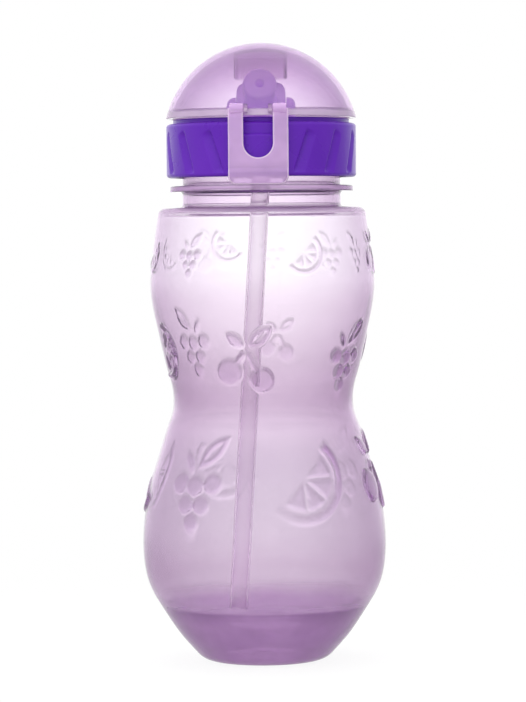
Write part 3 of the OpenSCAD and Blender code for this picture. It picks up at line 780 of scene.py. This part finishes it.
outline = arc(-HALF + CORNER, LATCH_LOW + CORNER, CORNER, 180, 270, 8)
outline += arc(HALF - CORNER, LATCH_LOW + CORNER, CORNER, 270, 360, 8)
outline += [(HALF, LATCH_TOP), (WIN, LATCH_TOP)] + arc(0, WIN_LOW + WIN, WIN, 0, -180, 20)
outline += [(-WIN, LATCH_TOP), (-HALF, LATCH_TOP)]
bm = prism([(x, 0, z) for x, z in outline], [(x, LATCH_WALL, z) for x, z in outline], 0.38, segments=4, material=1)
for at, places in (((1, 0, 0), ACROSS), ((0, 0, 1), UP)):
    for k in places:
        bmesh.ops.bisect_plane(bm, geom=bm.verts[:] + bm.edges[:] + bm.faces[:], plane_co=Vector(at) * k, plane_no=at)
for v in bm.verts:
    x, t, z = v.co.x, v.co.y / LATCH_WALL, v.co.z
    k = min(max((FLARE_TOP - z) / FLARE_LENGTH, 0), 1)
    flare = FLARE_OUT * k * k * (3 - 2 * k) + 0.05 * max(0, 145.6 - z)
    r = LATCH_IN + LATCH_WALL * t + flare * t + 0.1 * max(0, 146.4 - z) * (1 - t)
    v.co = Vector((x, -math.sqrt(r * r - x * x), z)) * MM
bmesh.ops.triangulate(bm, faces=[f for f in bm.faces if len(f.verts) > 4])
bmesh.ops.recalc_face_normals(bm, faces=bm.faces)
# the cuts leave vertices and faces in an order that differs from run to run
for some, key in ((bm.verts, lambda v: tuple(v.co)), (bm.faces, lambda f: tuple(f.calc_center_median()))):
    for i, each in enumerate(sorted(some, key=key)):
        each.index = i
    some.sort()
latch = from_bmesh("Latch_Clip", bm)
for mat in (mat_latch, mat_latch_edge_highlight):     # before the knuckles join, because the rounded edges have the second one, a lighter plastic that paints a highlight along them
    latch.data.materials.append(mat)
for s in (-1, 1):
    a, b = sorted((4.3 * s, 8.3 * s))
    combine(latch, bar("latch_knuckle", a, b, LATCH_Y, LATCH_Z, 1.45, 0.25), "UNION")
finish_piece(latch, "latch", "latch_clip", angle=35)

# ---------------------------------------------------------------- spout

PIVOT_Z, REST_TILT = 165.5, 25      # the spout's axis, and how far above level it lies at rest, in degrees
TILT = moved(0, PIVOT_Y, PIVOT_Z) @ spun(90 - REST_TILT, "X")
BARREL_HALF, BARREL_R, TRUNNION_HALF, TRUNNION_R = 7.35, 3.9, 9.4, 1.6
TUBE_R, TUBE_END, BORE = 3, 12, 1.7
BLOCK_BACK, BLOCK_FRONT, BLOCK_HIGH = 2.1, 4, 6.8

nozzle_line = softened([(3.0, 4.6), (4.9, 4.6, 0.3), (4.9, 6.2, 0.4)])[:-1] + [(4.75, 6.5)]
nozzle_line += [tuple(p) for p in smooth_line([(4.4, 7.2), (4.25, 9.5), (4.5, 12.5), (5.0, 14.4)], 6)]
nozzle_line += arc(4.0, 15.0, 1.0, 10, 90, 7) + softened([(3.9, 16), (1.3, 16, 0.4), (1.3, TUBE_END),
                                                          (3.0, TUBE_END)])[1:]
nozzle = place(lathe("Spout_Nozzle", nozzle_line), TILT)
finish_piece(nozzle, "spout", "spout_nozzle", mat_spout)

outline = softened([(-BARREL_HALF, 0), (BARREL_HALF, 0, 0.4), (BARREL_HALF, BLOCK_HIGH, 3.4),
                    (-BARREL_HALF, BLOCK_HIGH, 3.4)], closed=True)
rotor = from_bmesh("Spout_Rotor", prism(*([(x * MM, y * MM, z * MM) for x, y in outline]
                                          for z in (-BLOCK_BACK, BLOCK_FRONT)), 0.5 * MM, segments=3))
tube = lathe("tube", softened([(0, 0), (TUBE_R, 0), (TUBE_R, TUBE_END, 0.2), (0, TUBE_END)]), 64, closed=False)
combine(rotor, tube, "UNION")
place(rotor, TILT)
combine(rotor, bar("barrel", -BARREL_HALF + 0.2, BARREL_HALF - 0.2, PIVOT_Y, PIVOT_Z, BARREL_R, 0.4, 64), "UNION")
combine(rotor, bar("trunnion", -TRUNNION_HALF, TRUNNION_HALF, PIVOT_Y, PIVOT_Z, TRUNNION_R, 0.3), "UNION")
bore = lathe("bore", [(0, -BARREL_R - 1), (BORE, -BARREL_R - 1), (BORE, TUBE_END + 1), (0, TUBE_END + 1)], 48,
             closed=False)
combine(rotor, place(bore, TILT), "DIFFERENCE")
finish_piece(rotor, "spout", "spout_rotor", mat_spout)

# ---------------------------------------------------------------- CAD pieces shown as they are

for node, mat, slot in (("cap_gasket", mat_silicone, "silicone"), ("spout_base", mat_spout, "spout_plastic"),
                        ("spout_base_seal", mat_silicone, "silicone"), ("spout_seat_seal", mat_silicone, "silicone"),
                        ("air_vent_valve", mat_silicone, "silicone"),
                        ("dome_hinge_pin", mat_steel, "pin_steel"), ("latch_pins", mat_latch, "lid_plastic")):
    o = frame["nodes"][node]
    o.data.materials.clear()
    o.data.materials.append(mat)

# ---------------------------------------------------------------- floor and light

FLOOR_Z, FLOOR_RADII = -0.3, (20, 60, 120, 240, 420)

# a sheet of paper that shows faintly round the bottle and fades into the white surround
floor = new_mesh("Floor", *grid_rows([[(0.0, 0.0, FLOOR_Z)]] + [ring(r, FLOOR_Z, 96) for r in FLOOR_RADII]))
m, n = material("Floor_White")
pos = n.coords()
far = n.add("ShaderNodeVectorMath", {0: pos}, operation="LENGTH").outputs["Value"]
paper = n.shader("BsdfDiffuse", {"Color": n.ramp(n.noise(pos, CLOUD_SCALE, 3.0), [
    (CLOUD[0], (0.93, 0.93, 0.935, 1)), (CLOUD[1], (0.96, 0.96, 0.96, 1))])})
n.finish(n.shader("MixShader", {"Fac": n.ease(far, 0.03, 0.22, 0.10, 0.0), 1: n.shader("BsdfTransparent", {}),
                                2: paper}))
floor.data.materials.append(m)

# The surround is plain white to the camera. What lights the bottle is brighter above, and dimmer to the sides.
world = bpy.data.worlds.new("Studio")
bpy.context.scene.world = world
world.use_nodes = True
n = Nodes(world.node_tree)
way = n.add("ShaderNodeSeparateXYZ", {"Vector": n.add("ShaderNodeTexCoord").outputs["Generated"]}).outputs
in_front = n.ease(way["Z"], -0.6, 0.6, 0.70, 1.36)
at_back = n.ease(way["Z"], -0.16, 0.04, 0.90, 1.45)
left = n.ease(way["X"], -0.35, -0.95, 1.0, 0.88)
right = n.ease(way["X"], 0.35, 0.95, 1.0, 0.66)
light = n.calc("MULTIPLY", n.add("ShaderNodeMix", {0: n.ease(way["Y"], 0.1, 0.9), 2: in_front, 3: at_back}).outputs[0],
               n.calc("MULTIPLY", left, right))
seen = n.add("ShaderNodeLightPath").outputs["Is Camera Ray"]
strength = n.add("ShaderNodeMix", {0: seen, 2: light, 3: 1.0}).outputs[0]
n.add("ShaderNodeOutputWorld", {"Surface": n.shader("Background", {"Color": (1, 1, 1, 1), "Strength": strength})})


def turned_to(obj, at, to):
    """Puts a light or camera at one place, facing another, and gives the way that it faces."""
    obj.location = at
    obj.rotation_mode = "QUATERNION"
    facing = (Vector(to) - obj.location).to_track_quat("-Z", "Y")
    obj.rotation_quaternion = facing
    return facing


# name, place, what it faces, size and power
for name, at, to, size, power in (("Key", (-0.55, -0.75, 0.62), (0, 0, 0.11), (0.5, 0.7), 2.1),
                                  ("Fill", (0.8, -0.6, 0.28), (0, 0, 0.10), (0.35, 0.8), 0.7),
                                  ("Top", (0.0, 0.1, 0.95), (0, 0, 0.15), (0.7, 0.7), 1.9)):
    lamp = bpy.data.lights.new(name, "AREA")
    lamp.shape, lamp.size, lamp.size_y, lamp.energy = "RECTANGLE", size[0], size[1], power
    obj = linked(name, lamp)
    turned_to(obj, at, to)
    obj.visible_glossy = obj.visible_transmission = False

# ---------------------------------------------------------------- camera

LENS, SENSOR = 162.45, 36
TURN, DISTANCE, HEIGHT, AIM_HEIGHT, ROLL = math.radians(1.7), 0.95, 0.130, 0.0927, -0.505

camera = linked("Camera", bpy.data.cameras.new("Camera"))
camera.data.lens, camera.data.sensor_width = LENS, SENSOR
camera.data.clip_start, camera.data.clip_end = 0.05, 20
facing = turned_to(camera, (math.sin(TURN) * DISTANCE, -math.cos(TURN) * DISTANCE, HEIGHT), (0, 0, AIM_HEIGHT))
camera.rotation_quaternion = (facing.to_matrix().to_4x4() @ spun(ROLL, "Z")).to_quaternion()
bpy.context.scene.camera = camera
bpy.context.scene.view_settings.view_transform = "Standard"
paths = bpy.context.scene.cycles
paths.max_bounces, paths.glossy_bounces, paths.transmission_bounces = 20, 12, 20
